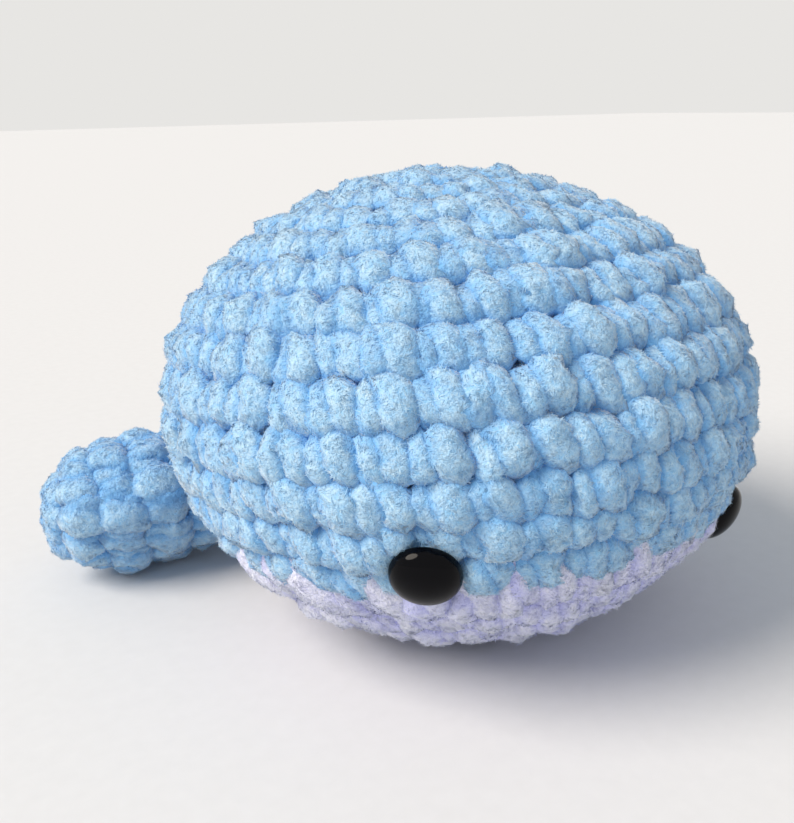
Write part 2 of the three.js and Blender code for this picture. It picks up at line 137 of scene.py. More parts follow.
# Where the colours meet, blue legs close to a point below, and white ones rise to one between them
BLUE_POINT = (
    (-0.16, 0.98, 5.3, 1.3), (-0.16, 0.98, 4.3, 1.8), (-0.20, 0.72, 3.1, 2.5),
    (-0.25, 0.47, 2.95, 2.7), (-0.24, 0.26, 3.1, 2.6), (-0.19, 0.13, 4.0, 2.3),
    (-0.15, 0.17, 5.3, 1.3),
    (0.04, 0.17, 5.3, 1.3), (0.07, 0.12, 4.1, 2.6), (0.13, 0.27, 3.3, 3.1), (0.16, 0.50, 3.1, 3.1),
    (0.12, 0.78, 2.9, 2.6), (0.06, 1.02, 4.2, 1.9), (0.05, 1.0, 5.3, 1.3),
)
WHITE_POINT = (
    (-0.30, 0.80, 5.3, 1.3), (-0.30, 0.82, 4.2, 2.4), (-0.27, 0.62, 3.1, 2.8),
    (-0.22, 0.25, 2.9, 2.7), (-0.12, -0.15, 2.6, 2.0), (-0.04, -0.62, 2.9, 1.4),
    (-0.02, -0.78, 4.8, 1.0),
    (0.02, -0.78, 4.8, 1.0), (0.05, -0.60, 2.9, 1.5), (0.15, -0.15, 2.5, 2.2),
    (0.23, 0.25, 2.9, 3.0), (0.27, 0.62, 3.1, 3.2), (0.30, 0.84, 4.2, 2.6),
    (0.31, 0.80, 5.3, 1.3),
)
STITCH_LEAN = 0.22
# Past this turn from the front, stitches shift until every round begins and ends straight behind
JOIN_SPREAD = math.radians(105)
# How uneven the work is, as shares of a stitch, a row or a radius, and millimetres of depth
UNEVEN_WIDTH = 0.05
UNEVEN_LEAN = 0.3
UNEVEN_ROW = 0.03
UNEVEN_DROP = 0.025
UNEVEN_PLACE = 0.05
UNEVEN_STITCH = 0.04
UNEVEN_LEG = 0.07
UNEVEN_DEPTH = 0.3

# Yarn: its tube, its lumps as size and strength in millimetres, and where it carries pile
RINGS_PER_LEG = 9
YARN_SIDES = 12
YARN_WIDER = 1.16
YARN_FLATTER = 0.93
OUTWARD_PROBE = 0.5 * MM
LUMPS = ((6.5, 0.8), (3.6, 1.2), (2.2, 0.9))
CREASE_REACH = 4.5 * MM
COVER_GAP = -0.15 * MM
PILE_DEPTH = 4.4 * MM
BAKE_STRIP_SHAPE = 1.15 / 16
BAKE_MARGIN = 0.02

# Pile
FIBRES_PER_MM2 = 10
FIBRE_LENGTH = 1.2 * MM
FIBRE_WIDTH = 0.22 * MM
FIBRE_ROOT = 0.2 * MM
FIBRE_LEAN = (math.radians(64), math.radians(86))
FIBRE_TURN = (-1.2, 1.2)
FIBRE_SIZES = (0.45, 1.15)
COMB_SCALE = 420
COMB_TURNS = 24
FIBRE_IN_CELL = np.array(((0.15, 0.15), (0.5, 0.85), (0.85, 0.15)))

# Inside of the fabric and filling
FABRIC_THICKNESS = 6.5 * MM
LINING_DEPTH = 4.9 * MM
LINING_THICKNESS = 1.2 * MM
STUFFING_DEPTH = 7 * MM
STUFFING_LUMP = 9 * MM
STUFFING_SINK = 0.8 * MM
BALL_FINENESS = 5
COLOUR_LINE = 21.9 * MM
COLOUR_TURN = math.radians(6)
COLOUR_TILT = math.radians(-9.5)
COLOUR_UP = (
    Matrix.Rotation(COLOUR_TURN, 3, "Z") @ Matrix.Rotation(COLOUR_TILT, 3, "X") @ Vector((0, 0, 1))
)

# Yarn ends inside, and the whip stitch that holds the tail
TUBE_ROUNDNESS = 4
TUBE_STEPS = 3
KNOT_OPENING = math.radians(24)
KNOT_STEPS = 30
KNOT_YARN = 2.2 * MM
KNOT_SPREAD = 1.423 * MM
KNOT_LEAD = 3.5 * MM
KNOT_DEPTH = 3.69 * MM
COLOUR_KNOT_HEIGHT = 30 * MM
COLOUR_KNOT_TURN = math.radians(100)
SEAM_STITCHES = 14
SEAM_YARN = 3.2 * MM
SEAM_HALF_WIDTH = 15.5 * MM
SEAM_HALF_HEIGHT = 9.5 * MM
SEAM_SWING = 1.6 * MM
SEAM_STAND = 2.2 * MM
SEAM_RISE = 1.4 * MM
SEAM_BENDS = 8
SEAM_ROUNDNESS = 3
SEAT_SAMPLES = 240
SEAT_SPREAD = (0.75, 0.9)
SEAT_DROP = 0.6

# Camera and light
WIDTH, HEIGHT = 794, 823
FOCAL_PIXELS = 900
CAMERA_DISTANCE = 194.3 * MM
CAMERA_RISE = math.radians(17.4)
CENTRE_PIXEL = (450.9, 389.3)
SENSOR_WIDTH = 36
NEAREST_SEEN = 0.01
WINDOW_SIDE = (-0.72, 0.10, 0.70)
WINDOW_WIDTH = math.radians(35)
WINDOW_STRENGTH = 3.5
WINDOW_COLOUR = (1, 0.91, 0.80)
ROOM_COLOUR = (0.92, 0.95, 0.98, 1)
ROOM_STRENGTH = 0.58
WALL_COLOUR = (0.80, 0.79, 0.77, 1)
FLOOR_HALF = 6
FLOOR_COLOURS = (0.66, 0.67, 0.69, 1), (0.70, 0.71, 0.73, 1)
FLOOR_SPECKS = (300, 2.0, 0.5)


# Forms

def eased(share):
    """A share from 0 to 1 that starts and ends gently."""
    return share ** 2 * (3 - 2 * share)


def superellipse(direction, inset):
    """Point of the body's form for each unit direction, at an inset from its outer face."""
    level = np.abs(direction[:, 2])
    flat = np.sqrt(np.maximum(1 - level ** 2, NEARLY_ZERO))
    upper = direction[:, 2] >= 0
    power = np.where(upper, DOME_POWER, BELLY_POWER)
    height = np.where(upper, DOME_HEIGHT, BELLY_DEPTH) - inset
    across = (BODY_RADIUS - inset) * flat ** (2 / power)
    up = np.sign(direction[:, 2]) * height * level ** (2 / power)
    x, y = (across * direction[:, k] / flat for k in (0, 1))
    return np.stack([x, y, up], 1) + BODY_CENTRE


def drawn_in(points):
    """Points moved in towards the body's centre where the tail's seam pulls the fabric."""
    seat_height = TAIL_HEIGHT - REST_DEPTH
    drop = (-seat_height / BELLY_DEPTH) ** BELLY_POWER
    seat_radius = BODY_RADIUS * (1 - drop) ** (1 / BELLY_POWER)
    seat = np.array((
        -seat_radius * math.sin(TAIL_TURN), seat_radius * math.cos(TAIL_TURN), seat_height,
    ))
    out = points - BODY_CENTRE
    length = np.linalg.norm(out, axis=1, keepdims=True)
    cosine = np.clip(out @ seat / (length[:, 0] * np.linalg.norm(seat)), -1, 1)
    away = np.arccos(cosine) / SEAT_DENT_SPREAD
    dent = SEAT_DENT_DEPTH * np.exp(-away ** 2)
    return BODY_CENTRE + out * (1 - dent[:, None] / length)


def rested(points, inset):
    """Points kept above the table by their inset, as soft fabric is pressed flat."""
    low = points[:, 2] - inset
    height = inset + (low + np.sqrt(low ** 2 + TABLE_PRESS ** 2)) / 2
    return np.column_stack([points[:, :2], height])


def body_points(direction, inset):
    return rested(drawn_in(superellipse(direction, inset)), inset)


def arc_lengths(points):
    return np.concatenate([[0], np.cumsum(np.linalg.norm(np.diff(points, axis=0), axis=1))])


LATITUDES = np.linspace(math.pi / 2, -math.pi / 2, LATITUDE_SAMPLES)
MERIDIAN = np.stack([np.cos(LATITUDES), 0 * LATITUDES, np.sin(LATITUDES)], 1)
BODY_ARCS = arc_lengths(superellipse(MERIDIAN, 0))
ROUND_FRAME = np.array(
    Matrix.Rotation(CAMERA_AZIMUTH, 3, "Z")
    @ Matrix.Rotation(-ROUND_LEAN_SIDE, 3, "Y")
    @ Matrix.Rotation(-ROUND_LEAN_BACK, 3, "X")
)


def eye_axis(side):
    joint = next(j for j in frame["joints"] if j["name"] == EYE_JOINTS[side])
    return np.array(joint["pos_m"]), np.array(joint["axis"])


def round_eyes(points, inset):
    """Points pressed under the rim of each eye, which sits in the fabric."""
    for side in EYE_JOINTS:
        place, axis = eye_axis(side)
        out = points - place
        along = out @ axis
        away = np.linalg.norm(out - along[:, None] * axis, axis=1)
        near = np.clip((PRESS_REACH - away) / PRESS_FADE, 0, 1) * (along > -PRESS_BEHIND)
        press = eased(near) * np.maximum(PRESS_DEPTH - inset, 0)
        points = points - press[:, None] * axis
    return points


def body_place(arc, longitude, inset):
    """Place on the body for an arc length from the crown and a longitude of the rounds."""
    latitude = np.interp(np.maximum(arc, POLE_CLEARANCE), BODY_ARCS, LATITUDES)
    across = np.cos(latitude)
    own = np.stack([across * np.sin(longitude), -across * np.cos(longitude), np.sin(latitude)], 1)
    return round_eyes(body_points(own @ ROUND_FRAME.T, inset), inset)


def stem_radius(along):
    """The tail's radius between its lobes' tips, at a distance along its bow from the middle."""
    swell = (1 - np.cos(math.pi * np.clip(along, 0, LOBE_TIP_START) / LOBE_TIP_START)) / 2
    return ROOT_RADIUS + (LOBE_RADIUS - ROOT_RADIUS) * swell


def lobe_profile():
    """The lobe's outline as distances along its bow and from it, tip first."""
    tip = np.linspace(0, math.pi / 2, TIP_SAMPLES)
    stem = np.linspace(LOBE_TIP_START, -STOCK_HALF, STEM_SAMPLES)[1:]
    along = np.concatenate([LOBE_TIP_START + LOBE_TIP * np.cos(tip), stem])
    out = np.concatenate([LOBE_RADIUS * np.sin(tip), stem_radius(stem)])
    return np.stack([along, out], 1)


LOBE_LINE = lobe_profile()
LOBE_ARCS = arc_lengths(LOBE_LINE)
LOBE_TANGENTS = np.gradient(LOBE_LINE, LOBE_ARCS, axis=0)
LOBE_NORMALS = np.stack([LOBE_TANGENTS[:, 1], -LOBE_TANGENTS[:, 0]], 1)


def bow_place(along, out, angle, side):
    """Place beside the tail's bow: so far along it to one side, at a distance and an angle."""
    turn = along / BOW_RADIUS
    level = out * np.cos(angle)
    x = side * (BOW_RADIUS * np.sin(turn) - level * np.sin(turn))
    y = BOW_BEHIND + BOW_RADIUS * (1 - np.cos(turn)) + level * np.cos(turn)
    z = TAIL_HEIGHT + out * np.sin(angle)
    cosine, sine = math.cos(TAIL_TURN), math.sin(TAIL_TURN)
    return np.stack([x * cosine - y * sine, x * sine + y * cosine, z], 1)


def lobe_place(side):
    def place(arc, longitude, inset):
        arc = np.clip(arc, TIP_CLEARANCE, LOBE_ARCS[-1])
        line = np.stack([np.interp(arc, LOBE_ARCS, LOBE_LINE[:, k]) for k in (0, 1)], 1)
        normal = np.stack([np.interp(arc, LOBE_ARCS, LOBE_NORMALS[:, k]) for k in (0, 1)], 1)
        spot = line - normal * inset[:, None]
        return bow_place(spot[:, 0], np.maximum(spot[:, 1], BOW_CLEARANCE), longitude, side)
    return place


def stock_place(arc, longitude, inset):
    return bow_place(arc - STOCK_HALF, ROOT_RADIUS - inset, longitude, 1)


# Yarn

def smooth_samples(control, gaps):
    """Catmull-Rom samples of a row of control values, at positions counted in controls."""
    whole = np.clip(np.floor(gaps).astype(int), 0, len(control) - 2)
    part = (gaps - whole)[:, None]
    last = len(control) - 1
    before, start, end, after = (control[np.clip(whole + k, 0, last)] for k in (-1, 0, 1, 2))
    return 0.5 * (
        2 * start + (end - before) * part
        + (2 * before - 5 * start + 4 * end - after) * part ** 2
        + (3 * start - before - 3 * end + after) * part ** 3
    )


def stitch_round(legs, count, gap, row_top, row_height, place, rng, thick=1.0):
    """One spiral round of single crochet, as facts of the rings along its yarn.

    The facts are each ring's place, radius, leg number, depth in the fabric and outward direction.
    """
    path = np.array(legs)
    half = len(path) // 2
    step = 2 * math.pi / count
    start = math.radians(gap) + step * math.ceil((-math.pi - math.radians(gap)) / step)
    rows = []
    for k in range(count):
        across, down, depth, radius = path.T
        own = np.repeat(rng.normal(0, 1, (2, 4)), half, axis=0)
        whole = rng.normal(0, 1, 4)
        lean = STITCH_LEAN * (1 + UNEVEN_LEAN * whole[2])
        across = across * (1 + UNEVEN_WIDTH * own[:, 1]) + lean * (down - 0.5)
        drop = down + UNEVEN_ROW * whole[3] + UNEVEN_DROP * own[:, 2]
        longitude = start + (k + 0.5 + UNEVEN_PLACE * whole[0] + across) * step
        behind = np.clip((np.abs(longitude) - JOIN_SPREAD) / (math.pi - JOIN_SPREAD), 0, 1)
        longitude = longitude - (math.pi + start) * eased(behind)
        arc = row_top + drop * row_height + row_height * longitude / (2 * math.pi)
        swell = 1 + UNEVEN_STITCH * whole[1] + UNEVEN_LEG * own[:, 0]
        inset = (depth + UNEVEN_DEPTH * own[:, 3]) * thick * MM
        rows.append(np.stack([longitude, arc, inset, radius * swell * thick * MM], 1))
    control = np.concatenate(rows)
    in_leg = np.linspace(0, half - 1, RINGS_PER_LEG)
    gaps = (np.arange(2 * count)[:, None] * half + in_leg).ravel()
    longitude, arc, inset, radius = smooth_samples(control, gaps).T
    points = place(arc, longitude, inset)
    out = place(arc, longitude, inset - OUTWARD_PROBE) - points
    out /= np.maximum(np.linalg.norm(out, axis=1, keepdims=True), SHORTEST)
    return points, radius, np.repeat(np.arange(2 * count), RINGS_PER_LEG), inset, out


def floats(values):
    """An array as one row of single-precision numbers, for Blender's own arrays."""
    return values.astype(np.float32).ravel()


def rows_from(items, field, size=3):
    """A field of each of Blender's items, one row for each."""
    values = np.empty(len(items) * size, np.float32)
    items.foreach_get(field, values)
    return values.reshape(-1, size)


def baked_curve(curve):
    """The mesh of a curve, once Blender has made it."""
    holder = bpy.data.objects.new("holder", curve)
    bpy.context.scene.collection.objects.link(holder)
    made = holder.evaluated_get(bpy.context.evaluated_depsgraph_get())
    mesh = bpy.data.meshes.new_from_object(made)
    bpy.data.objects.remove(holder)
    mesh.name = curve.name
    return mesh


def yarn_mesh(name, strand):
    """Mesh tube along a strand's rings, with the yarn's facts kept on its points."""
    points, radii = strand[:2]
    curve = bpy.data.curves.new(name, "CURVE")
    curve.dimensions = "3D"
    curve.bevel_depth = 1
    curve.bevel_resolution = YARN_SIDES // 2 - 2
    curve.use_fill_caps = True
    spline = curve.splines.new("POLY")
    spline.points.add(len(points) - 1)
    spline.points.foreach_set("co", floats(np.column_stack([points, np.ones(len(points))])))
    spline.points.foreach_set("radius", floats(radii))
    mesh = baked_curve(curve)
    widen(mesh, strand)
    mark_yarn(mesh, strand)
    lay_bake_map(mesh, len(points))
    return mesh


def ring_of(mesh, total):
    """The ring that each point of a yarn's tube belongs to."""
    return np.minimum(np.arange(len(mesh.vertices)) // YARN_SIDES, total - 1)


def widen(mesh, strand):
    """Soft yarn spread along its row: each ring a little wider, and flatter outwards."""
    centres, _, _, _, outs = strand
    ring = ring_of(mesh, len(centres))
    out = rows_from(mesh.vertices, "co") - centres[ring]
    stand = (out * outs[ring]).sum(1, keepdims=True) * outs[ring]
    spots = centres[ring] + YARN_WIDER * (out - stand) + YARN_FLATTER * stand
    mesh.vertices.foreach_set("co", floats(spots))


def mark_yarn(mesh, strand):
    """Stores each point's distance from the next leg, its depth, and its place on the yarn."""
    centres, radii, legs, insets, outs = strand
    ring = ring_of(mesh, len(centres))
    spots = rows_from(mesh.vertices, "co")
    tree = kdtree.KDTree(len(centres))
    for n, centre in enumerate(centres):
        tree.insert(centre, n)
    tree.balance()
    crease = np.full(len(spots), CREASE_REACH, np.float32)
    for n, spot in enumerate(spots):
        for _, m, d in tree.find_range(spot, CREASE_REACH):
            if legs[m] != legs[ring[n]]:
                crease[n] = min(crease[n], d - radii[m])
    depth = insets[ring] - ((spots - centres[ring]) * outs[ring]).sum(1)
    cover = (crease > COVER_GAP) & (depth < PILE_DEPTH)
    for name, values in (("gap", crease), ("depth", depth), ("cover", cover)):
        mesh.attributes.new(name, "FLOAT", "POINT").data.foreach_set("value", floats(values))
    turn = (np.arange(len(spots)) % YARN_SIDES) * 2 * math.pi / YARN_SIDES
    along = arc_lengths(centres)[ring]
    flow = np.stack([along, np.cos(turn) * radii[ring], np.sin(turn) * radii[ring]], 1)
    mesh.attributes.new("flow", "FLOAT_VECTOR", "POINT").data.foreach_set("vector", floats(flow))


def lay_bake_map(mesh, total):
    """A baking map that lays the yarn's tube out in strips, one under the other."""
    ring = ring_of(mesh, total)
    corner = np.empty(len(mesh.loops), np.int32)
    mesh.loops.foreach_get("vertex_index", corner)
    starts = np.empty(len(mesh.polygons), np.int32)
    mesh.polygons.foreach_get("loop_start", starts)
    sizes = np.diff(np.append(starts, len(corner)))
    first_ring = np.repeat(np.minimum.reduceat(ring[corner], starts), sizes)
    side = corner % YARN_SIDES
    wraps = np.maximum.reduceat(side, starts) - np.minimum.reduceat(side, starts) > 1
    side = side + YARN_SIDES * (np.repeat(wraps, sizes) & (side == 0))
    strips = max(2, round(math.sqrt(total * BAKE_STRIP_SHAPE)))
    per_strip = math.ceil(total / strips)
    strip = first_ring // per_strip
    u = (first_ring % per_strip + (ring[corner] - first_ring)) / per_strip
    v = (strip + BAKE_MARGIN + (1 - 2 * BAKE_MARGIN) * side / YARN_SIDES) / strips
    mesh.uv_layers.new(name="OFBake").uv.foreach_set("vector", floats(np.stack([u, v], 1)))


def lumpy(mesh):
    """Uneven thickness of the pile: each point moves along its normal by smooth noise."""
    spots = rows_from(mesh.vertices, "co")
    normals = rows_from(mesh.vertex_normals, "vector")
    swell = np.zeros(len(spots))
    for size, strength in LUMPS:
        lump = np.array([noise.noise(Vector(spot) / (size * MM)) for spot in spots])
        swell += strength * MM * lump
    mesh.vertices.foreach_set("co", floats(above_table(spots + normals * swell[:, None])))
    mesh.update()


def above_table(spots):
    return np.column_stack([spots[:, :2], np.maximum(spots[:, 2], 0)])


def object_of(name, mesh):
    piece = bpy.data.objects.new(name, mesh)
    bpy.context.scene.collection.objects.link(piece)
    return piece


def smoothed(mesh):
    mesh.polygons.foreach_set("use_smooth", np.ones(len(mesh.polygons), bool))
    return mesh


def placed(piece, body, node):
    """A piece that rides on a body and stands for a CAD node if one is named."""
    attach(piece, body)
    if node:
        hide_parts(node)
    return piece


def yarn_piece(name, strand, body, node):
    piece = object_of(name, yarn_mesh(name, strand))
    lumpy(piece.data)
    smoothed(piece.data)
    return placed(piece, body, node)


def strand_of(rounds):
    """One strand from rounds worked one after another."""
    facts = [list(fact) for fact in zip(*rounds)]
    facts[2] = [legs + LEG_NUMBERS * n for n, legs in enumerate(facts[2])]
    return tuple(np.concatenate(fact) for fact in facts)


def body_strand(rounds, rng, start=()):
    """One strand worked through rounds given as legs, count, gap and row top, after its start."""
    return strand_of(list(start) + [
        stitch_round(legs, count, gap, row_top, ROW_HEIGHT, body_place, rng)
        for legs, count, gap, row_top in rounds
    ])


# Fabric pieces

rng = np.random.default_rng(YARN_SEED)


def body_rounds(counts, gaps, first):
    """Rounds of the body from a row number on, as legs, count, gap and row top."""
    return [
        (STITCH, count, gap, FIRST_ROW_TOP + (first + n) * ROW_HEIGHT)
        for n, (count, gap) in enumerate(zip(counts, gaps))
    ]


blue_rounds = body_rounds(BLUE_COUNTS, BLUE_GAPS, 0)
white_rounds = body_rounds(WHITE_COUNTS, WHITE_GAPS, len(BLUE_COUNTS))
blue_rounds[-1] = (BLUE_POINT,) + blue_rounds[-1][1:]
white_rounds[0] = (WHITE_POINT,) + white_rounds[0][1:]
crown_start = stitch_round(
    STITCH, CROWN_COUNT, CROWN_GAP, FIRST_ROW_TOP - ROW_HEIGHT, ROW_HEIGHT, body_place,
    np.random.default_rng(CROWN_SEED), CROWN_THICKNESS,
)
back = yarn_piece(
    "back_crochet", body_strand(blue_rounds, rng, [crown_start]),
    "body", "back_fabric",
)
belly = yarn_piece(
    "belly_crochet", body_strand(white_rounds, rng), "body", "belly_fabric",
)


def tail_strand(counts, gap_step, row, stitch_height, place, rng):
    """One strand for a part of the tail, whose rounds are turned from one to the next."""
    return strand_of([
        stitch_round(STITCH, count, gap_step * n, n * row, stitch_height, place, rng)
        for n, count in enumerate(counts)
    ])


def lobe(name, side, node):
    strand = tail_strand(
        LOBE_COUNTS, LOBE_GAP_STEP, LOBE_ROW, LOBE_STITCH * LOBE_ROW, lobe_place(side), rng,
    )
    return yarn_piece(name, strand, "tail", node)


lobe_left = lobe("lobe_crochet_left", 1, "tail_lobe_left")
lobe_right = lobe("lobe_crochet_right", -1, "tail_lobe_right")
stock_row = 2 * STOCK_HALF / len(STOCK_COUNTS)
stock_strand = tail_strand(STOCK_COUNTS, STOCK_GAP_STEP, stock_row, stock_row, stock_place, rng)
stock = yarn_piece("stock_crochet", stock_strand, "tail", "tail_stock")


# Inner layer of the fabric and the filling

def ball(place):
    """A ball of even triangles whose unit directions are put in place by a function."""
    shell = bmesh.new()
    bmesh.ops.create_icosphere(shell, subdivisions=BALL_FINENESS, radius=1)
    directions = np.array([v.co for v in shell.verts])
    directions /= np.linalg.norm(directions, axis=1, keepdims=True)
    for vertex, point in zip(shell.verts, place(directions)):
        vertex.co = point
    return shell


def mesh_object(name, shell):
    mesh = bpy.data.meshes.new(name)
    shell.to_mesh(mesh)
    shell.free()
    return object_of(name, mesh)


def smooth_object(name, shell):
    piece = mesh_object(name, shell)
    smoothed(piece.data)
    return piece


def lining(name, upper):
    """The dense inside of the fabric above or below the colour change."""
    shell = ball(lambda directions: body_points(directions, LINING_DEPTH))
    bmesh.ops.bisect_plane(
        shell, geom=shell.verts[:] + shell.edges[:] + shell.faces[:], dist=WELD,
        plane_co=(0, 0, COLOUR_LINE), plane_no=COLOUR_UP, clear_outer=not upper, clear_inner=upper,
    )
    bmesh.ops.solidify(shell, geom=shell.faces[:], thickness=LINING_THICKNESS)
    return smooth_object(name, shell)


back_lining = lining("back_lining", True)
belly_lining = lining("belly_lining", False)


def body_filling(directions):
    """The body's filling, sunk unevenly from the fabric by smooth noise, as loose filling lies."""
    points = body_points(directions, STUFFING_DEPTH)
    out = points - points.mean(0)
    out /= np.linalg.norm(out, axis=1, keepdims=True)
    swell = np.array([noise.noise(Vector(point) / STUFFING_LUMP) for point in points])
    return points + out * (STUFFING_SINK * (swell - 1))[:, None]


def tail_filling(directions):
    along = directions[:, 0] * (LOBE_LENGTH - STUFFING_DEPTH)
    reach = np.abs(along)
    in_tip = np.clip(reach - LOBE_TIP_START, 0, None) / (LOBE_TIP - STUFFING_DEPTH)
    thick = (stem_radius(reach) - STUFFING_DEPTH) * np.sqrt(np.clip(1 - in_tip ** 2, 0, 1))
    angle = np.arctan2(directions[:, 2], directions[:, 1])
    return bow_place(along, thick, angle, 1)


body_stuffing = smooth_object("body_filling", ball(body_filling))
tail_stuffing = smooth_object("tail_filling", ball(tail_filling))


# Yarn ends and the tail's seam

def tube(name, points, radius, roundness):
    """A round tube of yarn along a list of points."""
    curve = bpy.data.curves.new(name, "CURVE")
    curve.dimensions = "3D"
    curve.bevel_depth = radius
    curve.bevel_resolution = roundness
    curve.use_fill_caps = True
    curve.resolution_u = TUBE_STEPS
    spline = curve.splines.new("BEZIER")
    spline.bezier_points.add(len(points) - 1)
    for bend, point in zip(spline.bezier_points, points):
        bend.co = point
        bend.handle_left_type = bend.handle_right_type = "AUTO"
    return object_of(name, smoothed(baked_curve(curve)))


def knot(name, point, inward):
    """A yarn end in an overhand knot, a trefoil curve flat against the inside of the fabric."""
    bends = []
    for step in range(KNOT_STEPS + 1):
        angle = KNOT_OPENING + step / KNOT_STEPS * (2 * math.pi - 2 * KNOT_OPENING)
        bends.append(KNOT_SPREAD * Vector((
            math.sin(angle) + 2 * math.sin(2 * angle),
            math.cos(angle) - 2 * math.cos(2 * angle),
            -math.sin(3 * angle),
        )))
    bends.insert(0, bends[0] + (bends[0] - bends[1]).normalized() * KNOT_LEAD)
    bends.append(bends[-1] + (bends[-1] - bends[-2]).normalized() * KNOT_LEAD)
    turn = Vector((0, 0, 1)).rotation_difference(inward)
    middle = Vector(point) + Vector(inward) * KNOT_DEPTH
    return tube(name, [middle + turn @ bend for bend in bends], KNOT_YARN / 2, TUBE_ROUNDNESS)


def body_face(height, turn, inset):
    """Point and outward direction of the body's form at a height and a turn from the nose."""
    rise = abs(height - REST_DEPTH)
    limit, power = (BELLY_DEPTH, BELLY_POWER) if height < REST_DEPTH else (DOME_HEIGHT, DOME_POWER)
    reach = (BODY_RADIUS - inset) * (1 - (rise / (limit - inset)) ** power) ** (1 / power)
    full = BODY_RADIUS * (1 - (rise / limit) ** power) ** (1 / power)
    across = full ** (power - 1) / BODY_RADIUS ** power
    up = math.copysign(rise ** (power - 1) / limit ** power, height - REST_DEPTH)
    out = Vector((across * math.sin(turn), -across * math.cos(turn), up)).normalized()
    return Vector((reach * math.sin(turn), -reach * math.cos(turn), height)), out


knot_point, knot_out = body_face(COLOUR_KNOT_HEIGHT, COLOUR_KNOT_TURN, FABRIC_THICKNESS)
colour_knot = knot("colour_change_end", knot_point, -knot_out)
closing_end = knot("closing_end", (0, 0, FABRIC_THICKNESS), Vector((0, 0, 1)))


def seam_stitches():
    """The whip stitch round the root of the tail, between the body's seat and the stock."""
    spread = np.linspace(-1, 1, SEAT_SAMPLES)
    grid = np.stack([v.ravel() for v in np.meshgrid(spread, spread)], 1)
    directions = np.column_stack([
        SEAT_SPREAD[0] * grid[:, 0], np.ones(len(grid)), SEAT_SPREAD[1] * grid[:, 1] - SEAT_DROP,
    ])
    directions /= np.linalg.norm(directions, axis=1, keepdims=True)
    turn = Matrix.Rotation(TAIL_TURN, 3, "Z")
    face = body_points(directions @ np.array(turn).T, 0) @ np.array(turn)
    total = SEAM_STITCHES * SEAM_BENDS
    places = []
    for n in range(total + 1):
        round_seam = 2 * math.pi * n / total
        in_stitch = 2 * math.pi * n / SEAM_BENDS
        swing = SEAM_SWING * math.cos(in_stitch)
        x = (SEAM_HALF_WIDTH + swing) * math.cos(round_seam)
        z = TAIL_HEIGHT + (SEAM_HALF_HEIGHT + swing) * math.sin(round_seam)
        y = face[np.argmin((face[:, 0] - x) ** 2 + (face[:, 2] - z) ** 2), 1]
        y += SEAM_STAND + SEAM_RISE * math.sin(in_stitch)
        places.append(turn @ Vector((x, y, z)))
    return tube("tail_whip_stitch", places, SEAM_YARN / 2, SEAM_ROUNDNESS)


seam = seam_stitches()


# Eyes

def eye_piece(side):
    """A polished dome eye with its rim and ribbed post, turned about its joint's axis."""
    post = EYE_POST / 2
    line = [(0, -POST_LENGTH), (post - 2 * POST_RIB, -POST_LENGTH)]
    for rib in range(POST_RIBS, 0, -1):
        line += [(post, -rib * POST_PITCH), (post - POST_RIB, -(rib - 0.5) * POST_PITCH)]
    line += [
        (post - POST_RIB, 0), (EYE_RADIUS - EYE_RIM / 2, 0),
        (EYE_RADIUS - RIM_CORNER[0], RIM_CORNER[1]), (EYE_RADIUS, EYE_RIM / 2),
    ]
    for step in range(DOME_STEPS):
        angle = math.pi / 2 * step / DOME_STEPS
        height = EYE_RIM + (EYE_DOME - EYE_RIM) * math.sin(angle)
        line.append((EYE_RADIUS * math.cos(angle), height))
    line.append((0, EYE_DOME))
    turned = bmesh.new()
    corners = [turned.verts.new((out, 0, up)) for out, up in line]
    for low, high in zip(corners, corners[1:]):
        turned.edges.new((low, high))
    bmesh.ops.spin(
        turned, geom=turned.verts[:] + turned.edges[:], cent=(0, 0, 0), axis=(0, 0, 1),
        angle=2 * math.pi, steps=EYE_TURN_STEPS, use_merge=True,
    )
    bmesh.ops.remove_doubles(turned, verts=turned.verts[:], dist=WELD)
    bmesh.ops.recalc_face_normals(turned, faces=turned.faces[:])
    place, axis = eye_axis(side)
    turn = Vector((0, 0, 1)).rotation_difference(Vector(axis)).to_matrix().to_4x4()
    seat = Matrix.Translation(Vector(place)) @ turn
    bmesh.ops.transform(turned, matrix=seat, verts=turned.verts[:])
    return smooth_object("eye_dome_" + side, turned)


eye_domes = {side: eye_piece(side) for side in EYE_JOINTS}


# Pile: short fibres that stand out of the chenille

def fibre():
    """One fibre, a flat point; its tip fact runs from root to tip."""
    one = bmesh.new()
    tip_fact = one.verts.layers.float.new("tip")
    half = FIBRE_WIDTH / 2
    left, right = (one.verts.new((x, 0, -FIBRE_ROOT)) for x in (-half, half))
    tip = one.verts.new((0, 0, FIBRE_LENGTH - FIBRE_ROOT))
    tip[tip_fact] = 1
    one.faces.new((left, tip, right))
    return mesh_object("fibre", one)


one_fibre = fibre()


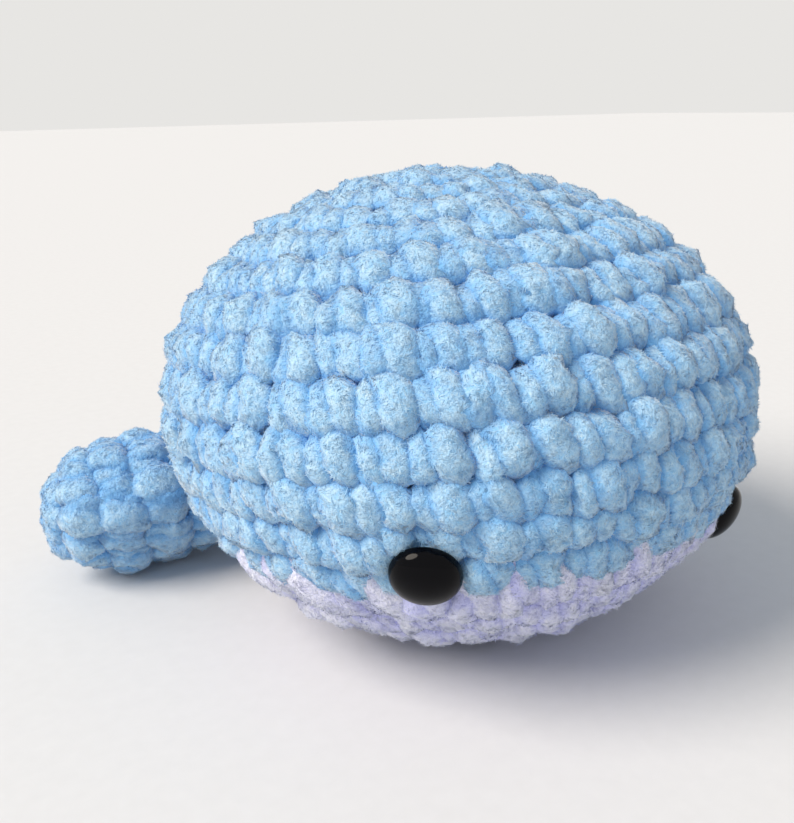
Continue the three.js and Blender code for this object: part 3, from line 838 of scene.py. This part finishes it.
def pile_nodes(seed):
    """Node group that stands combed fibres on a fabric where its cover fact says."""
    group = bpy.data.node_groups.new("pile", "GeometryNodeTree")
    for way in ("INPUT", "OUTPUT"):
        group.interface.new_socket("Geometry", in_out=way, socket_type="NodeSocketGeometry")

    def node(kind, settings=(), sockets=(), out=0):
        made = group.nodes.new(kind)
        for name, value in dict(settings).items():
            setattr(made, name, value)
        for name, value in dict(sockets).items():
            if isinstance(value, bpy.types.NodeSocket):
                group.links.new(value, made.inputs[name])
            else:
                made.inputs[name].default_value = value
        return made.outputs[out] if made.outputs else made

    def chance(low, high, seed):
        spread = {2: low, 3: high, "Seed": seed}
        return node("FunctionNodeRandomValue", {"data_type": "FLOAT"}, spread, 1)

    def math_of(operation, *values):
        return node("ShaderNodeMath", {"operation": operation}, dict(enumerate(values)))

    cover = node("GeometryNodeInputNamedAttribute", {"data_type": "FLOAT"}, {"Name": "cover"})
    spots = node("GeometryNodeDistributePointsOnFaces", (), {
        "Mesh": node("NodeGroupInput"), "Seed": seed,
        "Density": math_of("MULTIPLY", cover, FIBRES_PER_MM2 / MM ** 2),
    }).node
    swirl = node("ShaderNodeTexNoise", (), {
        "Vector": node("GeometryNodeInputPosition"), "Scale": COMB_SCALE, "Detail": 1,
    })
    turn = math_of("MULTIPLY_ADD", swirl, COMB_TURNS, chance(*FIBRE_TURN, seed + 1))
    lean = node("ShaderNodeCombineXYZ", (), {"X": chance(*FIBRE_LEAN, seed + 2), "Z": turn})
    turned = node("FunctionNodeRotateRotation", {"rotation_space": "LOCAL"}, {
        "Rotation": spots.outputs["Rotation"],
        "Rotate By": node("FunctionNodeEulerToRotation", (), {0: lean}),
    })
    shaded = node("GeometryNodeStoreNamedAttribute", {"data_type": "FLOAT", "domain": "POINT"}, {
        "Geometry": spots.outputs["Points"], "Name": "shade", "Value": chance(0.0, 1.0, seed + 3),
    })
    pattern = node(
        "GeometryNodeObjectInfo", {"transform_space": "ORIGINAL"}, {"Object": one_fibre},
        "Geometry",
    )
    stand = node("GeometryNodeInstanceOnPoints", (), {
        "Points": shaded, "Rotation": turned, "Scale": chance(*FIBRE_SIZES, seed + 4),
        "Instance": pattern,
    })
    node("NodeGroupOutput", (), {0: node("GeometryNodeRealizeInstances", (), {"Geometry": stand})})
    return group


def grown(piece, seed):
    """The mesh of the fibres that stand on a piece, in place of its own."""
    piece.modifiers.new("pile", "NODES").node_group = pile_nodes(seed)
    made = piece.evaluated_get(bpy.context.evaluated_depsgraph_get())
    mesh = bpy.data.meshes.new_from_object(made)
    piece.modifiers.clear()
    old, piece.data = piece.data, mesh
    bpy.data.meshes.remove(old)
    return mesh


def lay_fibre_map(mesh):
    """A baking map with a cell of its own for each fibre."""
    for layer in list(mesh.uv_layers):
        mesh.uv_layers.remove(layer)
    cells = math.ceil(math.sqrt(len(mesh.polygons)))
    cell = np.arange(len(mesh.polygons))
    places = (np.stack([cell % cells, cell // cells], 1)[:, None] + FIBRE_IN_CELL) / cells
    mesh.uv_layers.new(name="OFBake").uv.foreach_set("vector", floats(places))


def pile_of(name, fabric, body, seed, zone=(-math.pi, math.pi)):
    """The fibres of one fabric piece between two turns from the nose."""
    piece = object_of(name, fabric.data.copy())
    mesh = piece.data
    spots = rows_from(mesh.vertices, "co")
    turn = np.arctan2(spots[:, 0], -spots[:, 1])
    cover = mesh.attributes["cover"].data
    inside = (turn >= zone[0]) & (turn < zone[1])
    cover.foreach_set("value", floats(rows_from(cover, "value", 1)[:, 0] * inside))
    out = floats(rows_from(mesh.vertex_normals, "vector"))
    mesh.attributes.new("out", "FLOAT_VECTOR", "POINT").data.foreach_set("vector", out)
    mesh = grown(piece, seed)
    mesh.vertices.foreach_set("co", floats(above_table(rows_from(mesh.vertices, "co"))))
    smoothed(mesh)
    mesh.normals_split_custom_set_from_vertices(rows_from(mesh.attributes["out"].data, "vector"))
    for fact in ("out", "cover", "flow"):
        mesh.attributes.remove(mesh.attributes[fact])
    lay_fibre_map(mesh)
    return placed(piece, body, None)


third = 2 * math.pi / 3
piles = []
for n, letter in enumerate("abc"):
    zone = (-math.pi + n * third, -math.pi + (n + 1) * third)
    seed = 20 * n + 11
    piles.append(pile_of("back_pile_" + letter, back, "body", seed, zone))
for name, fabric, body, seed, slot in (
    ("belly_pile", belly, "body", 71, "white_yarn"),
    ("lobe_pile_left", lobe_left, "tail", 81, "blue_yarn"),
    ("lobe_pile_right", lobe_right, "tail", 91, "blue_yarn"),
    ("stock_pile", stock, "tail", 101, "blue_yarn"),
):
    piles.append(pile_of(name, fabric, body, seed))
bpy.data.objects.remove(one_fibre)


# Finishes

class Wire:
    """A node's output that can stand in Python arithmetic."""

    def __init__(self, finish, socket):
        self.finish = finish
        self.socket = socket

    def math(self, operation, *values):
        return self.finish.node("ShaderNodeMath", {"operation": operation}, dict(enumerate(values)))

    def __add__(self, other):
        return self.math("ADD", self, other)

    def __sub__(self, other):
        return self.math("SUBTRACT", self, other)

    def __rsub__(self, other):
        return self.math("SUBTRACT", other, self)

    def __mul__(self, other):
        return self.math("MULTIPLY", self, other)

    __radd__ = __add__
    __rmul__ = __mul__


class Finish:
    """A material whose nodes are added one call at a time."""

    def __init__(self, name, **constants):
        self.material = bpy.data.materials.new(name)
        self.material.use_nodes = True
        self.tree = self.material.node_tree
        self.shader = self.tree.nodes["Principled BSDF"]
        self.set(**constants)

    def put(self, socket, value):
        if isinstance(value, Wire):
            self.tree.links.new(value.socket, socket)
        else:
            socket.default_value = value

    def node(self, kind, settings=(), sockets=(), out=0):
        made = self.tree.nodes.new(kind)
        for name, value in dict(settings).items():
            setattr(made, name, value)
        for name, value in dict(sockets).items():
            self.put(made.inputs[name], value)
        return Wire(self, made.outputs[out])

    def set(self, **sockets):
        for name, value in sockets.items():
            self.put(self.shader.inputs[name.replace("_", " ")], value)

    def mix(self, share, first, second):
        return self.node("ShaderNodeMix", {"data_type": "RGBA"}, {0: share, 6: first, 7: second}, 2)

    def noise(self, place, scale, detail=2.0, roughness=0.5):
        return self.node("ShaderNodeTexNoise", (), {
            "Vector": place, "Scale": scale, "Detail": detail, "Roughness": roughness,
        })

    def step(self, value, low, high):
        return self.node("ShaderNodeMapRange", {"interpolation_type": "SMOOTHSTEP"}, {
            "Value": value, "From Min": low, "From Max": high,
        })

    def place(self):
        return self.node("ShaderNodeTexCoord", out=3)

    def fact(self, name):
        return self.node("ShaderNodeAttribute", {"attribute_name": name}, out=2)

    def raised(self, height, strength, distance):
        """The surface raised and sunk by a pattern."""
        return self.node("ShaderNodeBump", (), {
            "Strength": strength, "Distance": distance, "Height": height,
        })

    def open_share(self):
        """How far a yarn spot is out of painted crease and recess shade: none in creases, whole on crests."""
        beside = self.step(self.fact("gap"), *PAINTED_CREASE_SHADE_GAP)
        raised = 1 - self.step(self.fact("depth"), *PAINTED_RECESS_SHADE_DEPTH)
        return beside * (BESIDE_SHARE + (1 - BESIDE_SHARE) * raised)


# Shades of the yarn: its own colour on its crests, painted shade in its creases and recesses (also used for darker
# drifts of dye), and a paler shade for painted highlights on the tips of its tufts, which also tints fibres at
# random
SHEEN = (0.86, 0.93, 1, 1)
BLUE_SHADES_AND_PAINTED_LIGHT = (0.27, 0.56, 0.86, 1), (0.16, 0.44, 0.82, 1), (0.55, 0.75, 0.90, 1)
WHITE_SHADES_AND_PAINTED_LIGHT = (0.76, 0.78, 1.0, 1), (0.56, 0.58, 0.98, 1), (0.88, 0.89, 1.0, 1)
# Painted shade in creases and recesses: the gaps and depths over which it fades out, and how it weighs them
PAINTED_CREASE_SHADE_GAP = (-0.8 * MM, 1.6 * MM)
PAINTED_RECESS_SHADE_DEPTH = (1.4 * MM, 4.2 * MM)
BESIDE_SHARE = 0.25
TUFT_BUMP = (0.65, 2.2 * MM)

# Patterns, as noise scales in features per metre, with their detail and roughness
YARN_TUFTS = (700, 3.0, 0.6)
YARN_FUZZ = (2600, 2.0, 0.6)
YARN_BAND_SCALES = (1000, 260, 260)
YARN_BANDS = (1.0, 2.0, 0.5)
TUFT_SHARE, BAND_SHARE, FUZZ_SHARE = 0.5, 0.3, 0.2
# Heights of the tuft pattern over which the paler painted highlight comes in
TUFT_PAINTED_HIGHLIGHT_RANGE = (0.35, 0.65)
DYE_DRIFT = (70, 2.0, 0.5)
DYE_DRIFT_RANGE = (0.3, 0.7)
DYE_DRIFT_SHARE = 0.25
# The pile's clumps of painted highlight, then the tufts of its bump
PILE_HIGHLIGHT_CLUMPS = (1000, 2.0, 0.6)
PILE_TUFTS = (620, 2.0, 0.55)
# How pale fibres grow: painted highlight at their tips and in clumps, and each fibre's own random shade
TIP_PAINTED_HIGHLIGHT = 0.25
FIBRE_PALENESS = 0.15
CLUMP_PAINTED_HIGHLIGHT = 2.4
PALENESS_RANGE = (-0.6, 1.1)
EYE_BLACK = (0.001, 0.001, 0.002, 1)
EYE_IOR = 1.2
EYE_MARKS = (900, 4.0, 0.6)
EYE_MARK_RANGE = (0.5, 0.75)
EYE_SMOOTH, EYE_SCUFF = 0.05, 0.07
WASHER_SHADES = (0.78, 0.78, 0.75, 1), (0.86, 0.86, 0.83, 1)
WASHER_GRAIN = (500, 3.0, 0.5)
WASHER_SMOOTH, WASHER_SCUFF = 0.4, 0.15
FILLING_SHADES = (0.82, 0.81, 0.78, 1), (0.95, 0.94, 0.92, 1)
FILLING_CLOUDS = (160, 4.0, 0.65)
FILLING_HAIR = (1500, 3.0, 0.7)
CLOUD_SHARE, HAIR_SHARE = 0.6, 0.4
FILLING_BUMP = (0.6, 1.2 * MM)


def yarn_finish(name, crest, crease, tip):
    """Soft chenille pile in uneven tufts, with painted highlight on the tufts and painted shade in creases."""
    finish = Finish(name, Roughness=0.85, Sheen_Weight=0.8, Sheen_Roughness=0.4, Sheen_Tint=SHEEN)
    place = finish.place()
    flow = finish.node("ShaderNodeAttribute", {"attribute_name": "flow"}, out=1)
    scaled = {0: flow, 1: YARN_BAND_SCALES}
    rings = finish.node("ShaderNodeVectorMath", {"operation": "MULTIPLY"}, scaled)
    tuft = finish.noise(place, *YARN_TUFTS)
    fuzz = finish.noise(place, *YARN_FUZZ)
    bands = finish.noise(rings, *YARN_BANDS)
    height = tuft * TUFT_SHARE + bands * BAND_SHARE + fuzz * FUZZ_SHARE
    drift = finish.step(finish.noise(place, *DYE_DRIFT), *DYE_DRIFT_RANGE)
    # Painted highlight: the raised parts of the tuft pattern take the paler tip colour
    surface = finish.mix(finish.step(height, *TUFT_PAINTED_HIGHLIGHT_RANGE), crest, tip)
    surface = finish.mix(drift * DYE_DRIFT_SHARE, surface, crease)
    # Painted shade: creases between loops and recesses deep in the fabric take the crease colour
    finish.set(Base_Color=finish.mix(finish.open_share(), crease, surface))
    finish.set(Normal=finish.raised(height, *TUFT_BUMP))
    return finish.material


def pile_finish(name, crest, crease, tip):
    """Loose fibres of the pile: each its own shade, with painted highlight on tips and clumps, painted shade in
    creases.
    """
    finish = Finish(name, Roughness=0.8, Sheen_Weight=1.0, Sheen_Roughness=0.45, Sheen_Tint=SHEEN)
    place = finish.place()
    # Painted highlight: paler towards each fibre's tip and in clumps, besides each fibre's own random shade
    pale = TIP_PAINTED_HIGHLIGHT * finish.fact("tip") + FIBRE_PALENESS * finish.fact("shade")
    pale = pale + CLUMP_PAINTED_HIGHLIGHT * (finish.noise(place, *PILE_HIGHLIGHT_CLUMPS) - 0.5)
    strand = finish.mix(finish.step(pale, *PALENESS_RANGE), crest, tip)
    # Painted shade in the creases and recesses
    finish.set(Base_Color=finish.mix(finish.open_share(), crease, strand))
    finish.set(Normal=finish.raised(finish.noise(place, *PILE_TUFTS), *TUFT_BUMP))
    return finish.material


def eye_finish():
    """Polished black plastic with faint handling marks."""
    finish = Finish("polished_black", Base_Color=EYE_BLACK, IOR=EYE_IOR)
    marks = finish.noise(finish.place(), *EYE_MARKS)
    finish.set(Roughness=EYE_SMOOTH + EYE_SCUFF * finish.step(marks, *EYE_MARK_RANGE))
    return finish.material


def washer_finish():
    """Milky moulded plastic with a slight flow grain."""
    finish = Finish("milky_plastic", Subsurface_Weight=0.2)
    grain = finish.noise(finish.place(), *WASHER_GRAIN)
    finish.set(Base_Color=finish.mix(grain, *WASHER_SHADES))
    finish.set(Roughness=WASHER_SMOOTH + WASHER_SCUFF * grain)
    return finish.material


def filling_finish():
    """Loose polyester fibre, white with soft cloudy shade."""
    finish = Finish("loose_fibre", Roughness=0.95, Sheen_Weight=0.3)
    place = finish.place()
    cloud = finish.noise(place, *FILLING_CLOUDS)
    hair = finish.noise(place, *FILLING_HAIR)
    finish.set(Base_Color=finish.mix(cloud, *FILLING_SHADES))
    height = cloud * CLOUD_SHARE + hair * HAIR_SHARE
    finish.set(Normal=finish.raised(height, *FILLING_BUMP))
    return finish.material


blue_yarn = yarn_finish("blue_chenille", *BLUE_SHADES_AND_PAINTED_LIGHT)
white_yarn = yarn_finish("white_chenille", *WHITE_SHADES_AND_PAINTED_LIGHT)
blue_pile = pile_finish("blue_pile", *BLUE_SHADES_AND_PAINTED_LIGHT)
white_pile = pile_finish("white_pile", *WHITE_SHADES_AND_PAINTED_LIGHT)
black_plastic = eye_finish()
milky_plastic = washer_finish()
loose_fibre = filling_finish()

for piece, body, node, slot in (
    (back_lining, "body", None, "blue_yarn"),
    (belly_lining, "body", None, "white_yarn"),
    (body_stuffing, "body", "body_stuffing", "fibrefill"),
    (tail_stuffing, "tail", "tail_stuffing", "fibrefill"),
    (colour_knot, "body", "colour_change_knot", "blue_yarn"),
    (closing_end, "body", "closing_knot", "white_yarn"),
    (seam, "tail_root", "tail_seam_yarn", "blue_yarn"),
    (eye_domes["right"], "right_eye", "eye_right", "eye_plastic"),
    (eye_domes["left"], "left_eye", "eye_left", "eye_plastic"),
):
    placed(piece, body, node)


def dress(pieces, material):
    for piece in pieces:
        piece.data.materials.clear()
        piece.data.materials.append(material)


dress([back, lobe_left, lobe_right, stock, back_lining, colour_knot, seam], blue_yarn)
dress([belly, belly_lining, closing_end], white_yarn)
for pile in piles:
    dress([pile], white_pile if pile.name == "belly_pile" else blue_pile)
dress([body_stuffing, tail_stuffing], loose_fibre)
dress(eye_domes.values(), black_plastic)
SLOT_FINISHES = {
    "blue_yarn": blue_yarn, "white_yarn": white_yarn, "fibrefill": loose_fibre,
    "eye_plastic": black_plastic, "washer_plastic": milky_plastic,
}
for part in frame["record"]["subparts"]:
    for slot in frame["nodes"][part["node"]].material_slots:
        slot.material = SLOT_FINISHES[part["material_slot"]]


# Camera, floor and light

def aim_camera():
    back_axis = Vector((
        math.sin(CAMERA_AZIMUTH) * math.cos(CAMERA_RISE),
        -math.cos(CAMERA_AZIMUTH) * math.cos(CAMERA_RISE),
        math.sin(CAMERA_RISE),
    ))
    looking = back_axis.to_track_quat("Z", "Y").to_matrix()
    right, down = CENTRE_PIXEL[0] - WIDTH / 2, CENTRE_PIXEL[1] - HEIGHT / 2
    ray = Vector((right / FOCAL_PIXELS, -down / FOCAL_PIXELS, -1))
    off = Vector((0, 0, -1)).rotation_difference(ray.normalized()).to_matrix()
    camera = bpy.data.objects.new("camera", bpy.data.cameras.new("camera"))
    bpy.context.scene.collection.objects.link(camera)
    place = Matrix.Translation(Vector(BODY_CENTRE) + back_axis * CAMERA_DISTANCE)
    camera.matrix_world = place @ (looking @ off.transposed()).to_4x4()
    camera.data.sensor_width = SENSOR_WIDTH
    camera.data.lens = FOCAL_PIXELS / HEIGHT * SENSOR_WIDTH
    camera.data.clip_start = NEAREST_SEEN
    bpy.context.scene.camera = camera


aim_camera()


def lay_floor():
    grid = bmesh.new()
    bmesh.ops.create_grid(grid, x_segments=1, y_segments=1, size=FLOOR_HALF)
    floor = mesh_object("floor", grid)
    finish = Finish("pale_floor", Roughness=0.9)
    speck = finish.noise(finish.place(), *FLOOR_SPECKS)
    finish.set(Base_Color=finish.mix(speck, *FLOOR_COLOURS))
    floor.data.materials.append(finish.material)


lay_floor()


def soft_window():
    """Even daylight from the left and above."""
    light = bpy.data.lights.new("window", "SUN")
    light.energy = WINDOW_STRENGTH
    light.angle = WINDOW_WIDTH
    light.color = WINDOW_COLOUR
    holder = bpy.data.objects.new("window", light)
    bpy.context.scene.collection.objects.link(holder)
    holder.rotation_euler = Vector(WINDOW_SIDE).to_track_quat("Z", "Y").to_euler()


soft_window()


def light_room():
    """Soft light all round, seen as a plain pale wall."""
    world = bpy.data.worlds.new("studio")
    bpy.context.scene.world = world
    world.use_nodes = True
    tree = world.node_tree
    light = tree.nodes["Background"]
    light.inputs["Color"].default_value = ROOM_COLOUR
    light.inputs["Strength"].default_value = ROOM_STRENGTH
    wall = tree.nodes.new("ShaderNodeBackground")
    wall.inputs["Color"].default_value = WALL_COLOUR
    rays = tree.nodes.new("ShaderNodeLightPath")
    seen = tree.nodes.new("ShaderNodeMath")
    seen.operation = "MAXIMUM"
    tree.links.new(rays.outputs["Is Camera Ray"], seen.inputs[0])
    tree.links.new(rays.outputs["Is Glossy Ray"], seen.inputs[1])
    both = tree.nodes.new("ShaderNodeMixShader")
    tree.links.new(seen.outputs[0], both.inputs[0])
    tree.links.new(light.outputs[0], both.inputs[1])
    tree.links.new(wall.outputs[0], both.inputs[2])
    tree.links.new(both.outputs[0], tree.nodes["World Output"].inputs[0])


light_room()
bpy.context.scene.view_settings.view_transform = "Standard"
